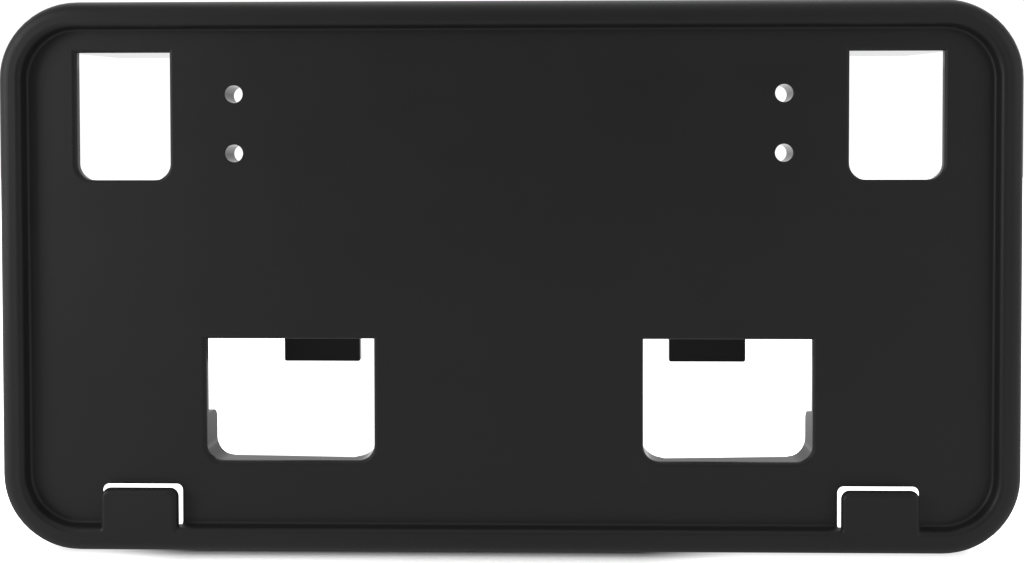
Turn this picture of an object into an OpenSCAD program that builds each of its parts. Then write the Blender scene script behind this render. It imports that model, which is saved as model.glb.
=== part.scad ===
// Moulded holder for a car's front number plate: a flat pocket inside a rounded hollow rim, with
// windows, screw bosses, plate tongues and hooks, and a back that follows a curved bumper.
// Lengths are in millimetres. Shapes are drawn with x across, y up and z towards the viewer, from
// the middle of the plate's seat, and are then stood up so that +Z is up and the front faces -Y.

/* [Number plate] */
// Width of the plate that the pocket takes
plate_w = 304.8; // [295:0.1:330]
// Height of the plate that the pocket takes
plate_h = 152.4; // [145:0.1:180]
// Clearance at each side of the plate
plate_gap_x = 3.7; // [1:0.1:8]
// Clearance above and below the plate
plate_gap_y = 4.2; // [1:0.1:8]

/* [Panel and rim] */
// Thickness of the panel behind the plate
panel_t = 2.4; // [1.8:0.1:3]
// Thickness of the rim's shell and of the skirt behind it
shell_t = 2.2; // [1.6:0.1:2.8]
// Width of the rim around the pocket, at the panel
rim_w = 9; // [8:0.1:14]
// Height of the rim above the panel
rim_h = 3.6; // [3:0.1:8]
// Radius of the rim's outer front edge
rim_round = 5; // [3:0.1:5.5]
// How far the rim's inner wall leans back from the pocket, over the rim's height
rim_draft = 0.7; // [0.2:0.1:1.2]
// Radius of the rim's inner front edge
rim_lip = 1.6; // [0.4:0.1:1.8]
// Radius of the fillet between the rim's inner wall and the panel
foot_fillet = 0.8; // [0.3:0.1:1.4]
// Outer radius of the holder's corners
corner_r = 25.5; // [18:0.5:35]

/* [Bumper fit] */
// Radius of the bumper face that the back follows
bumper_r = 1150; // [700:10:3000]
// Depth of the back edge at the middle, behind the panel's front
back_depth = 3.2; // [2.8:0.1:8]

/* [Upper windows] */
// Width of an upper window
upper_w = 30.4; // [20:0.1:40]
// Height of an upper window
upper_h = 41.3; // [25:0.1:60]
// Panel left between an upper window and the rim's side
upper_side = 15.7; // [8:0.1:24]
// Panel left between an upper window and the rim's top
upper_head = 7.5; // [5:0.1:20]

/* [Lower windows] */
// Width of a lower window
lower_w = 54.8; // [30:0.1:62]
// Height of a lower window
lower_h = 39.9; // [25:0.1:55]
// Distance from the middle to a lower window
lower_inner = 43.8; // [20:0.1:60]
// Panel left between a lower window and the rim's bottom
lower_sill = 20.3; // [17:0.1:30]
// Thickness of the flange behind a lower window
flange_t = 2; // [1.4:0.1:3]
// Height of the flange's legs above the window's sill
flange_leg = 15.1; // [8:0.1:24]
// Depth of the flange's legs behind the panel's front
leg_depth = 9.2; // [7:0.1:14]
// Depth of the flange's sill at its end near the middle of the holder
sill_inner_depth = 4.2; // [3:0.1:6.5]
// Depth of the flange's sill at its end near the holder's side
sill_outer_depth = 6; // [3:0.1:6.5]
// Radius of the rear top corner of a flange leg
flange_round = 3.4; // [0.4:0.1:4]

/* [Window corners] */
// Radius of the bottom corners of every window
window_r = 5.3; // [2:0.1:8]
// Radius of the front edge round every window
window_edge = 1.3; // [0.3:0.1:1.5]

/* [Screw holes] */
// Distance between the two columns of holes
hole_span = 177.8; // [150:0.1:190]
// Distance between the two rows of holes
hole_rows = 19.2; // [14:0.1:30]
// Distance from the rim's top down to the upper row
hole_drop = 21; // [12:0.1:35]
// Radius of a screw hole
hole_r = 2.9; // [2:0.05:4]
// Width of the bevel at the front of a screw hole
hole_bevel = 0.3; // [0.1:0.05:0.6]
// Radius of a screw boss
boss_r = 6; // [4.8:0.1:8]
// Depth of a screw boss behind the panel's front
boss_depth = 8; // [7:0.1:12]
// Radius of the fillet round the foot of a boss
boss_fillet = 0.8; // [0.3:0.1:1.5]

/* [Plate tongues] */
// Width of a tongue
tongue_w = 24.9; // [15:0.1:35]
// Height of a tongue above the rim's edge
tongue_h = 12.9; // [8:0.1:15]
// Thickness of a tongue
tongue_t = 2; // [1.4:0.1:2.2]
// Distance from the middle to the centre of a tongue
tongue_x = 119.4; // [100:0.1:125]
// Radius of a tongue's top corners
tongue_r = 2.8; // [2:0.1:5]
// Radius of a tongue's front edges
tongue_edge = 1.7; // [0.4:0.1:1.8]
// Radius of the flare where a tongue leaves the rim
tongue_flare = 0.8; // [0.5:0.1:3]
// Gap between a tongue and the edge of the opening behind it
relief_gap = 0.6; // [0.1:0.1:1.5]
// Radius of the top corners of the opening behind a tongue
relief_r = 2; // [0.5:0.1:4]
// How much further out the edge of that opening is at the panel's back than at its front
relief_flare = 1.5; // [0.2:0.1:2]

/* [Hooks] */
// Width of a hook
hook_w = 28.1; // [15:0.1:40]
// Distance from the panel's front to the front of a hook's blade
hook_reach = 37.7; // [20:0.1:60]
// Length of the blade below the window's head
hook_drop = 16.3; // [8:0.1:30]
// Thickness of the arm and the blade
hook_t = 2.6; // [2:0.1:4]
// Radius of the blade's front edges and of its lower corners
hook_edge = 0.5; // [0.3:0.1:1.2]
// Height of the gussets that carry a hook's arm
gusset_h = 13; // [6:0.1:20]

/* [Locating ribs] */
// Depth of a locating rib behind the panel's front
locator_depth = 14.7; // [8:0.1:25]
// Width of a locating rib's rear edge
locator_w = 25.5; // [10:0.1:30]
// Thickness of a locating rib
locator_t = 2.2; // [1.6:0.1:3]

/* [Stiffening ribs] */
// Thickness of a stiffening rib
rib_t = 1.8; // [1.2:0.1:2.6]
// Height of the cross rib above the middle
cross_rib_y = 8; // [-8:0.5:18]
// Distance from the outer upright ribs to the rim's inner wall
side_rib_gap = 7.5; // [5:0.5:12]

/* [Hidden] */
$fn = 96;
bumper_fn = 720;
// How far one solid runs into the next, and how far a cut runs past what it cuts
bite = 0.8;
spare = 1;
// Flat that is left beside a rounded edge on a thin wall
land = 0.2;
pocket_w = plate_w + 2 * plate_gap_x;
pocket_h = plate_h + 2 * plate_gap_y;
holder_w = pocket_w + 2 * rim_w;
holder_h = pocket_h + 2 * rim_w;
rim_in = corner_r - rim_w;
lip_in = rim_in + rim_draft;
rim_lean = atan2(rim_draft, rim_h);
floor_y = -pocket_h / 2;
lip_y = floor_y - rim_draft;
upper_right = pocket_w / 2 - upper_side;
upper_top = pocket_h / 2 - upper_head;
lower_mid = lower_inner + lower_w / 2;
lower_bottom = floor_y + lower_sill;
lower_top = lower_bottom + lower_h;
hole_x = hole_span / 2;
hole_y = pocket_h / 2 - hole_drop;
side_rib_x = pocket_w / 2 - side_rib_gap;
tongue_back = rim_h - tongue_t;
mouth_r = min(window_edge, panel_t - bite);
tongue_soft = min(tongue_edge, tongue_t - land);

// Depth of the bumper face behind the panel's front, at a distance from the middle
function face_depth(x) = back_depth + bumper_r - sqrt(bumper_r * bumper_r - x * x);
skirt_depth = face_depth(holder_w / 2) + spare;

// Stand a shape up: its y becomes height and its z points to the front
module stand_up() {
    rotate([90, 0, 0]) children();
}

module both_sides() {
    children();
    mirror([1, 0, 0]) children();
}

// What lies between a square corner at the origin and a circle that touches both its sides
module spandrel(r) {
    difference() {
        square(r);
        translate([r, r]) circle(r);
    }
}

// Outline that stands on the x axis, with its two top corners rounded
module arched(w, h, r) {
    translate([-w / 2, 0]) square([w, h - r]);
    translate([r - w / 2, 0]) square([w - 2 * r, h]);
    for (side = [-1, 1]) translate([side * (w / 2 - r), h - r]) circle(r);
}

// Outline with its two bottom corners rounded, that stands on the x axis
module window_outline(w, h) {
    translate([0, h]) mirror([0, 1]) arched(w, h, window_r);
}

// Sweep a section along a rectangle with rounded corners. The section's x is the distance from a
// corner's axis, so r is the outline itself, and its y is the height
module frame_sweep(w, h, r) {
    reach_x = w / 2 - r;
    reach_y = h / 2 - r;
    runs = [
        [reach_x, reach_y, 2 * reach_y],
        [-reach_x, reach_y, 2 * reach_x],
        [-reach_x, -reach_y, 2 * reach_y],
        [reach_x, -reach_y, 2 * reach_x]
    ];
    for (i = [0:3]) {
        translate([runs[i][0], runs[i][1], 0]) rotate([0, 0, 90 * i]) {
            rotate_extrude(angle = 90) children();
            rotate([90, 0, 0]) linear_extrude(runs[i][2]) children();
        }
    }
}

// What a round edge takes off the corner between the rim's top and its leaning inner wall
module lip_corner() {
    middle_y = rim_h - rim_lip;
    middle = [rim_in + middle_y * tan(rim_lean) + rim_lip / cos(rim_lean), middle_y];
    out = middle + (rim_lip + spare) * [-cos(rim_lean), sin(rim_lean)];
    difference() {
        polygon([middle, [middle[0], rim_h + spare], [out[0], rim_h + spare], out]);
        translate(middle) circle(rim_lip);
    }
}

// Fillet between the panel and the rim's leaning inner wall
module foot_corner() {
    middle = [rim_in + foot_fillet * (tan(rim_lean) - 1 / cos(rim_lean)), foot_fillet];
    out = middle + (foot_fillet + bite) * [cos(rim_lean), -sin(rim_lean)];
    difference() {
        polygon([middle, [middle[0], -bite], [rim_in + bite, -bite], out]);
        translate(middle) circle(foot_fillet);
    }
}

// Section of the rim: front shell, inner wall and outer skirt, open at the back
module rim_section() {
    difference() {
        polygon([
            [rim_in, -skirt_depth],
            [corner_r, -skirt_depth],
            [corner_r, rim_h],
            [lip_in, rim_h],
            [rim_in, 0]
        ]);
        translate([corner_r, rim_h]) rotate(180) spandrel(rim_round);
        lip_corner();
        difference() {
            translate([lip_in + shell_t, -skirt_depth - spare])
                square([corner_r - lip_in - 2 * shell_t, skirt_depth + spare + rim_h - shell_t]);
            translate([corner_r - shell_t, rim_h - shell_t]) rotate(180) spandrel(rim_round - shell_t);
        }
        translate([rim_in - spare, -skirt_depth - spare])
            square([lip_in - rim_in + shell_t + 2 * spare, skirt_depth + spare - panel_t]);
    }
    foot_corner();
}

// Flat slab with rounded corners and rounded front edges, from its back at z = 0
module soft_slab(w, h, t, r, edge) {
    frame_sweep(w, h, r) difference() {
        square([r, t]);
        translate([r, t]) rotate(180) spandrel(edge);
    }
    translate([-w / 2 + r, -h / 2 + r, 0]) cube([w - 2 * r, h - 2 * r, t]);
}

module rim() {
    frame_sweep(holder_w, holder_h, corner_r) rim_section();
}

module panel() {
    inset = corner_r - rim_in - bite;
    w = holder_w - 2 * inset;
    h = holder_h - 2 * inset;
    r = rim_in + bite;
    translate([0, 0, -panel_t]) linear_extrude(panel_t) {
        square([w - 2 * r, h], center = true);
        square([w, h - 2 * r], center = true);
        for (x = [-1, 1], y = [-1, 1]) translate([x * (w / 2 - r), y * (h / 2 - r)]) circle(r);
    }
}

// Wall between two points of the back, from inside the panel to past the bumper face
module back_wall(from, to, t) {
    run = to - from;
    translate([from[0], from[1], -skirt_depth]) rotate([0, 0, atan2(run[1], run[0])])
        translate([0, -t / 2, 0]) cube([norm(run), t, skirt_depth - panel_t + bite]);
}

// The side ribs end in the middle of the skirt's wall, where it turns round the holder's corners
module stiffening_ribs() {
    wall_x = holder_w / 2 - shell_t / 2;
    wall_y = holder_h / 2 - shell_t / 2;
    turn_x = max(0, side_rib_x + rib_t / 2 - (holder_w / 2 - corner_r));
    turn_r = corner_r - shell_t / 2;
    side_y = holder_h / 2 - corner_r + sqrt(turn_r * turn_r - turn_x * turn_x);
    back_wall([-wall_x, cross_rib_y], [wall_x, cross_rib_y], rib_t);
    both_sides() {
        back_wall([hole_x, cross_rib_y], [hole_x, wall_y], rib_t);
        back_wall([side_rib_x, -side_y], [side_rib_x, side_y], rib_t);
    }
}

// Block that becomes a U-shaped flange when the lower window is cut: two deep legs, with their
// rear top corners rounded, and between them a shallower sill
module lower_flange() {
    w = lower_w + 2 * flange_t;
    h = flange_leg + flange_t;
    ease = window_r + flange_t;
    outer = lower_inner + lower_w;
    round_r = min(flange_round, (leg_depth - panel_t) / 2);
    translate([0, lower_bottom - flange_t, 0]) difference() {
        intersection() {
            translate([lower_mid, 0, -leg_depth]) linear_extrude(leg_depth - panel_t + bite)
                translate([0, h]) mirror([0, 1]) arched(w, h, ease);
            rotate([-90, 0, 0]) linear_extrude(h) polygon([
                [lower_inner - flange_t, panel_t - bite],
                [lower_inner - flange_t, leg_depth],
                [lower_inner, leg_depth],
                [lower_inner + ease, sill_inner_depth],
                [outer - ease, sill_outer_depth],
                [outer, leg_depth],
                [outer + flange_t, leg_depth],
                [outer + flange_t, panel_t - bite]
            ]);
        }
        translate([lower_mid, h, -leg_depth]) rotate([90, 0, 90])
            linear_extrude(w + 2 * spare, center = true) rotate(90) spandrel(round_r);
    }
}

// Section of a window's mouth: as wide as the window at its back, and rounded out to the front
module mouth_profile(half) {
    difference() {
        translate([-half - mouth_r, -mouth_r]) square([2 * (half + mouth_r), mouth_r + spare]);
        for (side = [-1, 1]) translate([side * (half + mouth_r), -mouth_r]) circle(mouth_r);
    }
}

// Cut for a window that stands on the x axis. Its front edge is rounded: swept round the bottom
// corners, and mitred in the square top corners
module window_cut(w, h) {
    cut_t = skirt_depth + rim_h + 2 * spare;
    translate([0, 0, -skirt_depth - spare]) linear_extrude(cut_t) window_outline(w, h);
    intersection() {
        translate([0, h, 0]) frame_sweep(w, 2 * h, window_r) difference() {
            translate([window_r - bite, -mouth_r]) square([mouth_r + bite, mouth_r + spare]);
            translate([window_r + mouth_r, -mouth_r]) circle(mouth_r);
        }
        translate([-w, -mouth_r - spare, -mouth_r - spare])
            cube([2 * w, h / 2 + mouth_r + spare, mouth_r + 3 * spare]);
    }
    intersection() {
        translate([0, h + mouth_r, 0]) rotate([90, 0, 0])
            linear_extrude(h / 2 + mouth_r) mouth_profile(w / 2);
        rotate([90, 0, 90]) linear_extrude(w + 2 * mouth_r, center = true) mouth_profile(h);
    }
}

module window_cuts() {
    translate([upper_right - upper_w / 2, upper_top - upper_h, 0]) window_cut(upper_w, upper_h);
    translate([lower_mid, lower_bottom, 0]) window_cut(lower_w, lower_h);
}

// Arched opening from z = 0 back to a depth, which its sides and its top reach further out
module flared_arch(w, h, r, depth, flare) {
    reach = w / 2 - r;
    for (side = [-1, 1]) translate([side * reach, h - r, -depth]) cylinder(r1 = r + flare, r2 = r, h = depth);
    translate([0, h - r, 0]) rotate([90, 0, 0]) linear_extrude(h - r)
        polygon([[-w / 2, 0], [w / 2, 0], [w / 2 + flare, -depth], [-w / 2 - flare, -depth]]);
    rotate([90, 0, 90]) linear_extrude(2 * reach, center = true)
        polygon([[0, 0], [h, 0], [h + flare, -depth], [0, -depth]]);
}

// Opening through the panel behind a tongue, from the tongue's back, wider at the panel's back
module tongue_relief() {
    w = tongue_w + 2 * relief_gap;
    h = tongue_h + relief_gap + foot_fillet;
    depth = panel_t + spare;
    translate([tongue_x, lip_y - foot_fillet, 0]) {
        linear_extrude(tongue_back) arched(w, h, relief_r);
        flared_arch(w, h, relief_r, depth, relief_flare * depth / panel_t);
    }
}

module tongue() {
    root = rim_lip + bite;
    length = 2 * (tongue_h + root);
    translate([tongue_x, lip_y + tongue_h, tongue_back]) intersection() {
        translate([0, -length / 2, 0]) soft_slab(tongue_w, length, tongue_t, tongue_r, tongue_soft);
        translate([-tongue_w, -tongue_h - root, -spare])
            cube([2 * tongue_w, tongue_h + root + spare, tongue_t + 2 * spare]);
    }
    for (side = [0, 1]) {
        translate([tongue_x, lip_y + tongue_flare, tongue_back]) mirror([side, 0, 0])
            translate([tongue_w / 2 + tongue_flare, 0, 0]) rotate([0, 0, 180])
                rotate_extrude(angle = 90) difference() {
                    translate([tongue_flare, 0]) square([rim_lip + bite, tongue_t]);
                    translate([tongue_flare, tongue_t]) rotate(-90) spandrel(tongue_soft);
                }
    }
}

module bosses() {
    for (row = [0, 1]) translate([hole_x, hole_y - row * hole_rows, 0]) {
        translate([0, 0, -boss_depth]) cylinder(r = boss_r, h = boss_depth - panel_t + bite);
        rotate_extrude() difference() {
            translate([boss_r - bite, -panel_t - boss_fillet])
                square([bite + boss_fillet, boss_fillet + bite]);
            translate([boss_r + boss_fillet, -panel_t - boss_fillet]) circle(boss_fillet);
        }
    }
}

module screw_holes() {
    for (row = [0, 1]) {
        translate([hole_x, hole_y - row * hole_rows, -skirt_depth - spare])
            cylinder(r = hole_r, h = skirt_depth + 2 * spare);
        translate([hole_x, hole_y - row * hole_rows, -hole_bevel])
            cylinder(r1 = hole_r, r2 = hole_r + 2 * hole_bevel, h = 2 * hole_bevel);
    }
}

// Arm that runs back from a lower window's head, its blade and the two gussets above it
module hook() {
    back_z = -hook_reach - hook_t;
    translate([lower_mid - hook_w / 2, lower_top, 0]) {
        translate([0, 0, back_z]) cube([hook_w, hook_t, -back_z - panel_t + bite]);
        translate([hook_w / 2, (hook_t - hook_drop) / 2, back_z])
            soft_slab(hook_w, hook_drop + hook_t, hook_t, 1.5 * hook_edge, hook_edge);
        for (x = [0, hook_w - rib_t]) translate([x, 0, 0]) rotate([0, 90, 0])
            linear_extrude(rib_t) polygon([
                [panel_t - bite, 0],
                [panel_t - bite, gusset_h],
                [panel_t, gusset_h],
                [-back_z, hook_t],
                [-back_z, 0]
            ]);
    }
}

// Rib that runs back from an upper window's head, with a slanted outer end
module locating_rib() {
    inner = upper_right - upper_w - locator_t;
    outer = upper_right + locator_t;
    translate([0, upper_top, 0]) rotate([-90, 0, 0]) linear_extrude(locator_t) polygon([
        [inner, panel_t - bite],
        [inner, locator_depth],
        [inner + locator_w, locator_depth],
        [outer, panel_t],
        [outer, panel_t - bite]
    ]);
}

module bumper_face() {
    translate([0, 0, -back_depth - bumper_r]) rotate([90, 0, 0])
        cylinder(r = bumper_r, h = holder_h + 2 * spare, center = true, $fn = bumper_fn);
}

module plate_holder() {
    color("#2c2c2c") stand_up() difference() {
        union() {
            difference() {
                union() {
                    difference() {
                        union() {
                            rim();
                            panel();
                            stiffening_ribs();
                        }
                        bumper_face();
                    }
                    both_sides() lower_flange();
                }
                both_sides() {
                    window_cuts();
                    tongue_relief();
                }
            }
            both_sides() {
                tongue();
                bosses();
                hook();
                locating_rib();
            }
        }
        both_sides() screw_holes();
    }
}

plate_holder();
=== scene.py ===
import math

import bmesh
import bpy
from bpy.props import FloatProperty, FloatVectorProperty, PointerProperty
from bpy.types import Operator, Panel, PropertyGroup
from mathutils import Matrix, Vector


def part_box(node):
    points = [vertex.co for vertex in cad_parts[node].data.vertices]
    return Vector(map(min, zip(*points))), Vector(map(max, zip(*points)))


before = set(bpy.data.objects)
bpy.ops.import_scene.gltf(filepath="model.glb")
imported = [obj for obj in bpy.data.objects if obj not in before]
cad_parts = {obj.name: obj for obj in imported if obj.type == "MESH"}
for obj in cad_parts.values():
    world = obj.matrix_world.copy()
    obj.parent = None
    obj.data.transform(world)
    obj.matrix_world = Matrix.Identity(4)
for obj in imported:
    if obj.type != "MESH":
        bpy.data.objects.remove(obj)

bl_info = {
    "name": "Number Plate Holder",
    "version": (1, 0, 0),
    "blender": (4, 5, 0),
    "location": "3D View > Sidebar > Plate Holder",
    "description": "Finishes a moulded number plate holder and sets up its studio",
    "category": "Object",
}

# Lengths are in metres, the front is -Y and up is +Z. Two numbers are the ends of a soft step.

NODE = "plate_holder"
WHITE = (1.0, 1.0, 1.0, 1.0)

# The plastic: the two patterns of its tone come to 1 where both are at their average of 0.5.
TONE, CLOUD_TONE, FLOW_TONE = 0.82, 0.2, 0.16
# Three patterns add to the roughness, and the drop takes off about what they add on average.
ROUGH_DROP, CLOUD_ROUGH, FLOW_ROUGH, GRAIN_ROUGH = 0.1, 0.1, 0.08, 0.06
FLOW_STRETCH = (0.25, 1.0, 1.0)
FLOW_FINENESS = 2.2
# How far a face looks to the front or back, from 0 to 1, as a wall fades into a grained face.
WALL_FACING = (0.03, 0.35)
# Where the extra gloss of the locating ribs begins.
RIB_HEIGHT = (0.066, 0.07)

# The floor, front to back: its lift fades, it turns white for the camera, and it shows in gloss.
LIFT_FADE = (0.0, 0.02)
WHITE_BEHIND = (-0.003, 0.006)
GLOSS_BEHIND = (0.0, 0.3)
GLOSS_IN_FRONT = (-0.12, 0.0)
# The far floor's distance from the middle, and the length over which painted light fades out
# each end of the shadow.
FAR_FLOOR = (0.4, 1.2)
SHADOW_FADE = 0.04
# The room, by its direction: 1 is straight back.
ROOM_BEHIND = (0.0, 0.5)

# Each lamp's name and what it is.
KEY = ("Key lamp", "tall lamp at the left")
FILL = ("Fill lamp", "lamp at the right")
TOP = ("Top lamp", "lamp above and in front of the holder")
OVER = ("Overhead lamp", "lamp straight above the floor")
SKY = ("Rear lamp", "lamp above and behind the holder")
LAMPS = ("key", "fill", "top", "over", "sky")

IMAGE_W, IMAGE_H = 1024, 563
SENSOR_MM = 36.0
CLIP_NEAR, CLIP_FAR = 0.01, 50.0


# Shader helpers

class Wire:
    """An output of a shader node. Arithmetic on it adds Math nodes."""

    def __init__(self, tree, socket):
        self.tree = tree
        self.socket = socket

    def output(self, name):
        """Another output of the same node."""
        return Wire(self.tree, self.socket.node.outputs[name])

    def _maths(self, operation, *terms):
        return self.tree.add(
            "ShaderNodeMath", {"operation": operation}, dict(enumerate(terms))
        )

    def __add__(self, other):
        return self._maths("ADD", self, other)

    def __radd__(self, other):
        return self._maths("ADD", other, self)

    def __sub__(self, other):
        return self._maths("SUBTRACT", self, other)

    def __rsub__(self, other):
        return self._maths("SUBTRACT", other, self)

    def __mul__(self, other):
        return self._maths("MULTIPLY", self, other)

    def __rmul__(self, other):
        return self._maths("MULTIPLY", other, self)

    def __lt__(self, other):
        return self._maths("LESS_THAN", self, other)

    def __abs__(self):
        return self._maths("ABSOLUTE", self)


class Tree:
    """The nodes of one material or world, added one after another."""

    def __init__(self, owner):
        owner.use_nodes = True
        self.nodes = owner.node_tree.nodes
        self.links = owner.node_tree.links
        self.nodes.clear()

    def add(self, kind, settings=None, inputs=None, output=0):
        """Add a node: its settings first, then the values or wires of its inputs."""
        node = self.nodes.new(kind)
        for name, value in (settings or {}).items():
            setattr(node, name, value)
        for name, value in (inputs or {}).items():
            if isinstance(value, Wire):
                self.links.new(value.socket, node.inputs[name])
            else:
                node.inputs[name].default_value = value
        return Wire(self, node.outputs[output]) if node.outputs else node

    def ramp(self, factor, low, high):
        """0 below low and 1 above high, with a soft step between."""
        return self.add(
            "ShaderNodeMapRange",
            {"interpolation_type": "SMOOTHSTEP"},
            {"Value": factor, "From Min": low, "From Max": high, "To Min": 0.0, "To Max": 1.0},
        )

    def split(self, vector):
        """The X, Y and Z of a vector."""
        x = self.add("ShaderNodeSeparateXYZ", None, {"Vector": vector})
        return x, x.output("Y"), x.output("Z")

    def grey(self, level):
        """The grey of a level."""
        return self.add(
            "ShaderNodeCombineColor", None, {"Red": level, "Green": level, "Blue": level}
        )

    def mix(self, factor, a, b, blend="MIX"):
        """Colour a where factor is 0, and b, or a blended with b, where it is 1."""
        # The colour sockets go by number, because others in the node share their names.
        return self.add(
            "ShaderNodeMix",
            {"data_type": "RGBA", "blend_type": blend},
            {0: factor, 6: a, 7: b},
            output=2,
        )

    def rays(self):
        """1 for what the camera itself sees, and 1 for what glossy and clear faces show."""
        seen = self.add("ShaderNodeLightPath", output="Is Camera Ray")
        return seen, seen.output("Is Glossy Ray") + seen.output("Is Transmission Ray")


# Settings

class PLATE_PG_plastic(PropertyGroup):
    """Finish of the black moulded plastic."""

    colour: FloatVectorProperty(
        name="Colour", description="Colour of the plastic", subtype="COLOR",
        size=4, min=0.0, max=1.0, default=(0.023, 0.023, 0.0235, 1.0),
    )
    fleck_colour: FloatVectorProperty(
        name="Fleck colour", description="Colour of the small pale flecks in the surface",
        subtype="COLOR", size=4, min=0.0, max=1.0, default=(0.07, 0.07, 0.072, 1.0),
    )
    roughness: FloatProperty(
        name="Roughness", description="Roughness of the grained faces",
        subtype="FACTOR", min=0.0, max=1.0, default=0.47,
    )
    wall_roughness: FloatProperty(
        name="Wall roughness",
        description="Roughness of the smooth walls of windows and holes",
        subtype="FACTOR", min=0.0, max=1.0, default=0.18,
    )
    rib_gloss: FloatProperty(
        name="Rib gloss",
        description="Extra gloss of the locating ribs above the upper windows",
        subtype="FACTOR", min=0.0, max=1.0, default=0.6,
    )
    rib_roughness: FloatProperty(
        name="Rib gloss roughness", description="Roughness of that extra gloss",
        subtype="FACTOR", min=0.0, max=1.0, default=0.05,
    )
    pocket_half: FloatVectorProperty(
        name="Smooth walls within",
        description="Reach of the windows and holes from the middle",
        unit="LENGTH", size=2, min=0.0, default=(0.153, 0.078), precision=4,
    )
    grain_size: FloatProperty(
        name="Grain size", description="Width of one bump of the moulded grain",
        subtype="DISTANCE", unit="LENGTH", min=0.0001, max=0.003, default=0.00045, precision=5,
    )
    grain_depth: FloatProperty(
        name="Grain depth", description="Height of the moulded grain",
        subtype="DISTANCE", unit="LENGTH", min=0.0, max=0.0005, default=0.00002, precision=6,
    )
    cloud_size: FloatProperty(
        name="Cloud size",
        description="Width of the faint clouds left by the flow of the plastic",
        subtype="DISTANCE", unit="LENGTH", min=0.002, max=0.2, default=0.03,
    )
    fleck_spacing: FloatProperty(
        name="Fleck spacing", description="Distance between two flecks",
        subtype="DISTANCE", unit="LENGTH", min=0.002, max=0.1, default=0.011,
    )
    fleck_size: FloatProperty(
        name="Fleck size", description="Radius of the largest fleck",
        subtype="DISTANCE", unit="LENGTH", min=0.0, max=0.001, default=0.00022, precision=5,
    )


def lamp_place(name, what, default):
    return FloatVectorProperty(
        name=name + " place", description="Where the " + what + " hangs",
        subtype="TRANSLATION", unit="LENGTH", size=3, default=default,
    )


def lamp_size(name, what, default):
    return FloatVectorProperty(
        name=name + " size", description="Width and height of the " + what,
        subtype="XYZ", unit="LENGTH", size=2, min=0.05, default=default,
    )


def lamp_power(name, what, default):
    return FloatProperty(
        name=name + " power", description="Power of the " + what,
        subtype="POWER", unit="POWER", min=0.0, max=200.0, default=default,
    )


class PLATE_PG_studio(PropertyGroup):
    """Floor, background and lights."""

    floor_colour: FloatVectorProperty(
        name="Floor colour", description="Colour of the floor", subtype="COLOR",
        size=4, min=0.0, max=1.0, default=(0.9, 0.9, 0.9, 1.0),
    )
    floor_width: FloatProperty(
        name="Floor width", description="Width of the square floor",
        subtype="DISTANCE", unit="LENGTH", min=1.0, max=40.0, default=12.0,
    )
    floor_lift: FloatProperty(
        name="Floor lift",
        description="How many times brighter the camera sees the floor in front",
        min=1.0, max=10.0, default=4.0,
    )
    floor_glow: FloatProperty(
        name="White floor behind",
        description="Light that only the camera sees on the floor behind",
        min=0.0, max=2.0, default=0.95,
    )
    # The painted contact shadow: how far the ambient occlusion that darkens the floor for the
    # camera reaches.
    contact_reach: FloatProperty(
        name="Contact shadow", description="Reach of the dark line where the holder stands",
        subtype="DISTANCE", unit="LENGTH", min=0.001, max=0.2, default=0.005,
    )
    # The holder's shadow is kept between these ends and whitened past them by painted light.
    shadow_middle: FloatProperty(
        name="Shadow middle", description="Place of the shadow's middle along the holder",
        subtype="DISTANCE", unit="LENGTH", min=-1.0, max=1.0, default=-0.03,
    )
    shadow_half: FloatProperty(
        name="Shadow half length",
        description="Length of the full shadow to either side of its middle",
        subtype="DISTANCE", unit="LENGTH", min=0.0, max=1.0, default=0.07,
    )
    end_glow: FloatProperty(
        name="White floor beside",
        description="Light that only the camera sees on the floor past the shadow",
        min=0.0, max=2.0, default=0.75,
    )
    room_level: FloatProperty(
        name="Room", description="Brightness of the room all round the holder",
        min=0.0, max=2.0, default=0.1,
    )
    back_level: FloatProperty(
        name="White behind",
        description="Brightness of the white behind, as glossy faces show it",
        min=0.0, max=2.0, default=0.95,
    )
    front_level: FloatProperty(
        name="White in front",
        description="Brightness of the floor just in front, as glossy faces show it",
        min=0.0, max=2.0, default=0.15,
    )
    key_place: lamp_place(*KEY, (-1.3, -0.66, 0.2))
    key_size: lamp_size(*KEY, (0.5, 1.1))
    key_power: lamp_power(*KEY, 6.6)
    fill_place: lamp_place(*FILL, (1.2, -0.7, 0.3))
    fill_size: lamp_size(*FILL, (0.9, 1.1))
    fill_power: lamp_power(*FILL, 2.4)
    top_place: lamp_place(*TOP, (0.0, -0.9, 1.1))
    top_size: lamp_size(*TOP, (1.4, 0.9))
    top_power: lamp_power(*TOP, 1.75)
    over_place: lamp_place(*OVER, (0.0, 0.05, 1.3))
    over_size: lamp_size(*OVER, (1.2, 0.6))
    over_power: lamp_power(*OVER, 2.6)
    sky_place: lamp_place(*SKY, (0.0, 0.55, 1.1))
    sky_size: lamp_size(*SKY, (1.6, 0.8))
    sky_power: lamp_power(*SKY, 2.2)


class PLATE_PG_camera(PropertyGroup):
    """The camera at the photograph's viewing angle."""

    place: FloatVectorProperty(
        name="Place", description="Where the camera stands", subtype="TRANSLATION",
        unit="LENGTH", size=3, default=(0.01584, -0.268, 0.03766), precision=5,
    )
    yaw: FloatProperty(
        name="Yaw", description="Turn to the left",
        subtype="ANGLE", unit="ROTATION", default=-0.0136,
    )
    pitch: FloatProperty(
        name="Pitch", description="Tilt downwards",
        subtype="ANGLE", unit="ROTATION", default=0.0156,
    )
    roll: FloatProperty(
        name="Roll", description="Turn about the viewing direction",
        subtype="ANGLE", unit="ROTATION", default=0.0011,
    )
    focal_px: FloatProperty(
        name="Focal length", description="Focal length in pixels of the image",
        min=100.0, max=5000.0, default=830.83,
    )
    centre_px: FloatVectorProperty(
        name="Centre", description="Pixel that the camera's axis passes through",
        size=2, default=(545.57, 173.86),
    )


# Pieces

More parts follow.
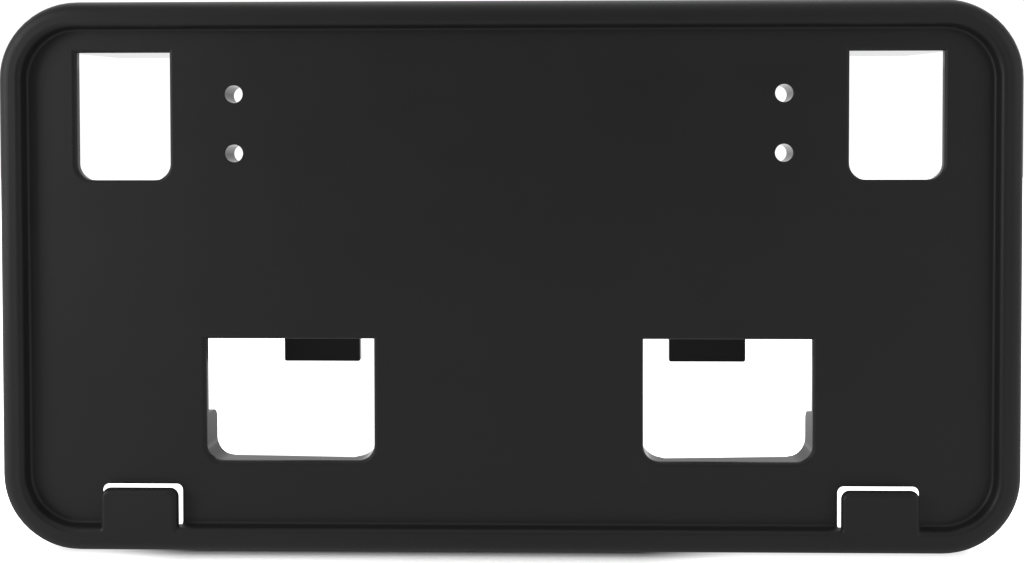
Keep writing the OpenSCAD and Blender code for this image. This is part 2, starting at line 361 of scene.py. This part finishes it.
def finish_plastic(settings):
    """Black moulded plastic: fine grain, faint clouds and a few small flecks."""
    material = bpy.data.materials.new("black_moulded_plastic")
    tree = Tree(material)
    place = tree.add("ShaderNodeTexCoord", output="Object")
    x, _, z = tree.split(place)
    _, facing, _ = tree.split(place.output("Normal"))

    clouds = tree.add("ShaderNodeTexNoise", None, {
        "Vector": place, "Scale": 1.0 / settings.cloud_size, "Detail": 4.0, "Roughness": 0.55,
    })
    stretched = tree.add("ShaderNodeMapping", None, {"Vector": place, "Scale": FLOW_STRETCH})
    flow = tree.add("ShaderNodeTexNoise", None, {
        "Vector": stretched, "Scale": FLOW_FINENESS / settings.cloud_size,
        "Detail": 3.0, "Roughness": 0.5,
    })
    grain = tree.add("ShaderNodeTexNoise", None, {
        "Vector": place, "Scale": 1.0 / settings.grain_size, "Detail": 2.0, "Roughness": 0.6,
    })

    # Each cell of the pattern has one fleck, and its luck makes it large, small or none.
    from_fleck = tree.add("ShaderNodeTexVoronoi", None, {
        "Vector": place, "Scale": 1.0 / settings.fleck_spacing, "Randomness": 1.0,
    })
    luck = tree.add("ShaderNodeSeparateColor", None, {"Color": from_fleck.output("Color")})
    fleck = from_fleck < luck * luck * (settings.fleck_size / settings.fleck_spacing)

    tone = tree.grey(TONE + CLOUD_TONE * clouds + FLOW_TONE * flow)
    body = tree.mix(1.0, tuple(settings.colour), tone, blend="MULTIPLY")
    colour = tree.mix(fleck, body, tuple(settings.fleck_colour))

    # The walls of windows and holes look sideways or up and down, and lie within the pocket.
    upright = 1.0 - tree.ramp(abs(facing), *WALL_FACING)
    inside_x = abs(x) < settings.pocket_half[0]
    inside_z = abs(z) < settings.pocket_half[1]
    wall = upright * inside_x * inside_z
    grained = 1.0 - wall
    polished = settings.rib_gloss * tree.ramp(z, *RIB_HEIGHT)

    rough = (
        settings.roughness - ROUGH_DROP
        + CLOUD_ROUGH * clouds + FLOW_ROUGH * flow + GRAIN_ROUGH * grain
    )
    roughness = settings.wall_roughness + grained * (rough - settings.wall_roughness)
    bump = tree.add("ShaderNodeBump", None, {
        "Height": grain * grained, "Strength": 1.0, "Distance": settings.grain_depth,
    })
    surface = tree.add("ShaderNodeBsdfPrincipled", None, {
        "Base Color": colour, "Roughness": roughness, "Normal": bump, "IOR": 1.5,
        "Coat Weight": polished * wall, "Coat Roughness": settings.rib_roughness,
    })
    tree.add("ShaderNodeOutputMaterial", None, {"Surface": surface})
    return material


def finish_floor(settings):
    """A pale floor that the camera sees white. The lamps cast the holder's shadow on it, a
    painted contact shadow darkens it where the holder stands, and painted light whitens that
    shadow at both ends.
    """
    material = bpy.data.materials.new("pale_floor")
    tree = Tree(material)
    seen, mirrored = tree.rays()
    place = tree.add("ShaderNodeTexCoord", output="Object")
    x, y, _ = tree.split(place)
    distance = tree.add(
        "ShaderNodeVectorMath", {"operation": "LENGTH"}, {0: place}, output="Value"
    )
    # Painted shadow: ambient occlusion darkens what the camera sees of the floor where the
    # holder stands.
    painted_contact_shade = tree.add("ShaderNodeAmbientOcclusion", {"samples": 8}, {
        "Distance": settings.contact_reach,
    }, output="AO")

    # The camera sees the floor's colour lifted in front, fading behind, and darkened by the
    # painted contact shadow.
    faded = (settings.floor_lift - 1.0) * tree.ramp(y, *LIFT_FADE)
    lifted_with_painted_shade = tree.grey((settings.floor_lift - faded) * painted_contact_shade)
    colour = tree.mix(seen, tuple(settings.floor_colour), lifted_with_painted_shade)
    paint = tree.add("ShaderNodeBsdfDiffuse", None, {"Color": colour})

    # Painted light: past the shadow's middle stretch, light that only the camera sees whitens
    # the floor and takes the holder's shadow away at both ends.
    painted_light_at_shadow_ends = tree.ramp(
        abs(x - settings.shadow_middle),
        settings.shadow_half, settings.shadow_half + SHADOW_FADE,
    )
    # Glow on the floor: white behind for the camera, darkened near the holder by the painted
    # contact shadow, painted light over the ends of the shadow, and white far off; glossy faces
    # see white behind and in front.
    white = (
        settings.floor_glow * seen * tree.ramp(y, *WHITE_BEHIND) * painted_contact_shade
        + settings.end_glow * seen * painted_light_at_shadow_ends
        + seen * tree.ramp(distance, *FAR_FLOOR)
        + settings.back_level * mirrored * tree.ramp(y, *GLOSS_BEHIND)
        + settings.front_level * mirrored * tree.ramp(y, *GLOSS_IN_FRONT)
    )
    glow = tree.add("ShaderNodeEmission", None, {"Color": WHITE, "Strength": white})
    both = tree.add("ShaderNodeAddShader", None, {0: paint, 1: glow})
    tree.add("ShaderNodeOutputMaterial", None, {"Surface": both})
    return material


class PLATE_OT_moulding(Operator):
    """Give the moulding its black plastic finish"""

    bl_idname = "plate.moulding"
    bl_label = "Finish the Moulding"
    bl_options = {"REGISTER", "UNDO"}

    def execute(self, context):
        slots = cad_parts[NODE].material_slots
        if not slots:
            raise RuntimeError("The moulding has no material slot to fill")
        material = finish_plastic(context.scene.plate_plastic)
        for slot in slots:
            slot.material = material
        return {"FINISHED"}


class PLATE_OT_stage(Operator):
    """Lay the pale floor and light the room"""

    bl_idname = "plate.stage"
    bl_label = "Build the Stage"
    bl_options = {"REGISTER", "UNDO"}

    def execute(self, context):
        settings = context.scene.plate_studio
        self.lay_floor(context, settings)
        self.fill_room(context, settings)
        for name in LAMPS:
            self.hang_lamp(
                context, name + "_lamp", getattr(settings, name + "_place"),
                getattr(settings, name + "_size"), getattr(settings, name + "_power"),
            )
        return {"FINISHED"}

    def lay_floor(self, context, settings):
        low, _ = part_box(NODE)
        shape = bmesh.new()
        bmesh.ops.create_grid(shape, x_segments=1, y_segments=1, size=settings.floor_width / 2)
        bmesh.ops.translate(shape, verts=shape.verts, vec=(0.0, 0.0, low[2]))
        mesh = bpy.data.meshes.new("floor")
        shape.to_mesh(mesh)
        shape.free()
        mesh.materials.append(finish_floor(settings))
        floor = bpy.data.objects.new("floor", mesh)
        context.scene.collection.objects.link(floor)

    def fill_room(self, context, settings):
        world = bpy.data.worlds.new("room")
        context.scene.world = world
        tree = Tree(world)
        seen, mirrored = tree.rays()
        direction = tree.add("ShaderNodeTexCoord", output="Generated")
        _, y, _ = tree.split(direction)
        behind = settings.back_level * mirrored * tree.ramp(y, *ROOM_BEHIND)
        surface = tree.add("ShaderNodeBackground", None, {
            "Color": WHITE, "Strength": settings.room_level + seen + behind,
        })
        tree.add("ShaderNodeOutputWorld", None, {"Surface": surface})

    def hang_lamp(self, context, name, place, size, power):
        """Hang a lamp that faces the middle of the holder."""
        light = bpy.data.lights.new(name, "AREA")
        light.shape = "RECTANGLE"
        light.size, light.size_y = size
        light.energy = power
        lamp = bpy.data.objects.new(name, light)
        lamp.location = place
        lamp.rotation_euler = (-Vector(place)).to_track_quat("-Z", "Y").to_euler()
        context.scene.collection.objects.link(lamp)


class PLATE_OT_camera(Operator):
    """Set the camera at the photograph's viewing angle"""

    bl_idname = "plate.camera"
    bl_label = "Place the Camera"
    bl_options = {"REGISTER", "UNDO"}

    def execute(self, context):
        settings = context.scene.plate_camera
        yaw = Matrix.Rotation(settings.yaw, 3, "Z")
        pitch = Matrix.Rotation(settings.pitch, 3, "X")
        roll = Matrix.Rotation(-settings.roll, 3, "Y")
        turn = (roll @ pitch @ yaw).transposed()
        facing = Matrix.Rotation(math.radians(90), 3, "X")

        data = bpy.data.cameras.new("camera")
        data.sensor_width = SENSOR_MM
        data.lens = settings.focal_px * SENSOR_MM / IMAGE_W
        data.shift_x = (IMAGE_W / 2 - settings.centre_px[0]) / IMAGE_W
        data.shift_y = (settings.centre_px[1] - IMAGE_H / 2) / IMAGE_W
        data.clip_start, data.clip_end = CLIP_NEAR, CLIP_FAR
        camera = bpy.data.objects.new("camera", data)
        camera.matrix_world = Matrix.Translation(settings.place) @ (turn @ facing).to_4x4()
        context.scene.collection.objects.link(camera)
        context.scene.camera = camera
        return {"FINISHED"}


class PLATE_PT_sidebar(Panel):
    """The settings, and a button for each step"""

    bl_label = "Plate Holder"
    bl_idname = "PLATE_PT_sidebar"
    bl_space_type = "VIEW_3D"
    bl_region_type = "UI"
    bl_category = "Plate Holder"

    def draw(self, context):
        layout = self.layout
        for group, holder in SETTINGS.items():
            box = layout.box()
            settings = getattr(context.scene, holder)
            for name in group.__annotations__:
                box.prop(settings, name)
        for operator in OPERATORS:
            layout.operator(operator.bl_idname)


SETTINGS = {
    PLATE_PG_plastic: "plate_plastic",
    PLATE_PG_studio: "plate_studio",
    PLATE_PG_camera: "plate_camera",
}
OPERATORS = (PLATE_OT_moulding, PLATE_OT_stage, PLATE_OT_camera)


def register():
    for group, name in SETTINGS.items():
        bpy.utils.register_class(group)
        setattr(bpy.types.Scene, name, PointerProperty(type=group))
    for cls in OPERATORS:
        bpy.utils.register_class(cls)
    bpy.utils.register_class(PLATE_PT_sidebar)


def unregister():
    bpy.utils.unregister_class(PLATE_PT_sidebar)
    for cls in reversed(OPERATORS):
        bpy.utils.unregister_class(cls)
    for group, name in SETTINGS.items():
        delattr(bpy.types.Scene, name)
        bpy.utils.unregister_class(group)


def main():
    register()
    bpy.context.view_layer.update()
    bpy.ops.plate.moulding()
    bpy.ops.plate.stage()
    bpy.ops.plate.camera()
    bpy.context.scene.view_settings.view_transform = "Standard"


if __name__ == "__main__":
    main()
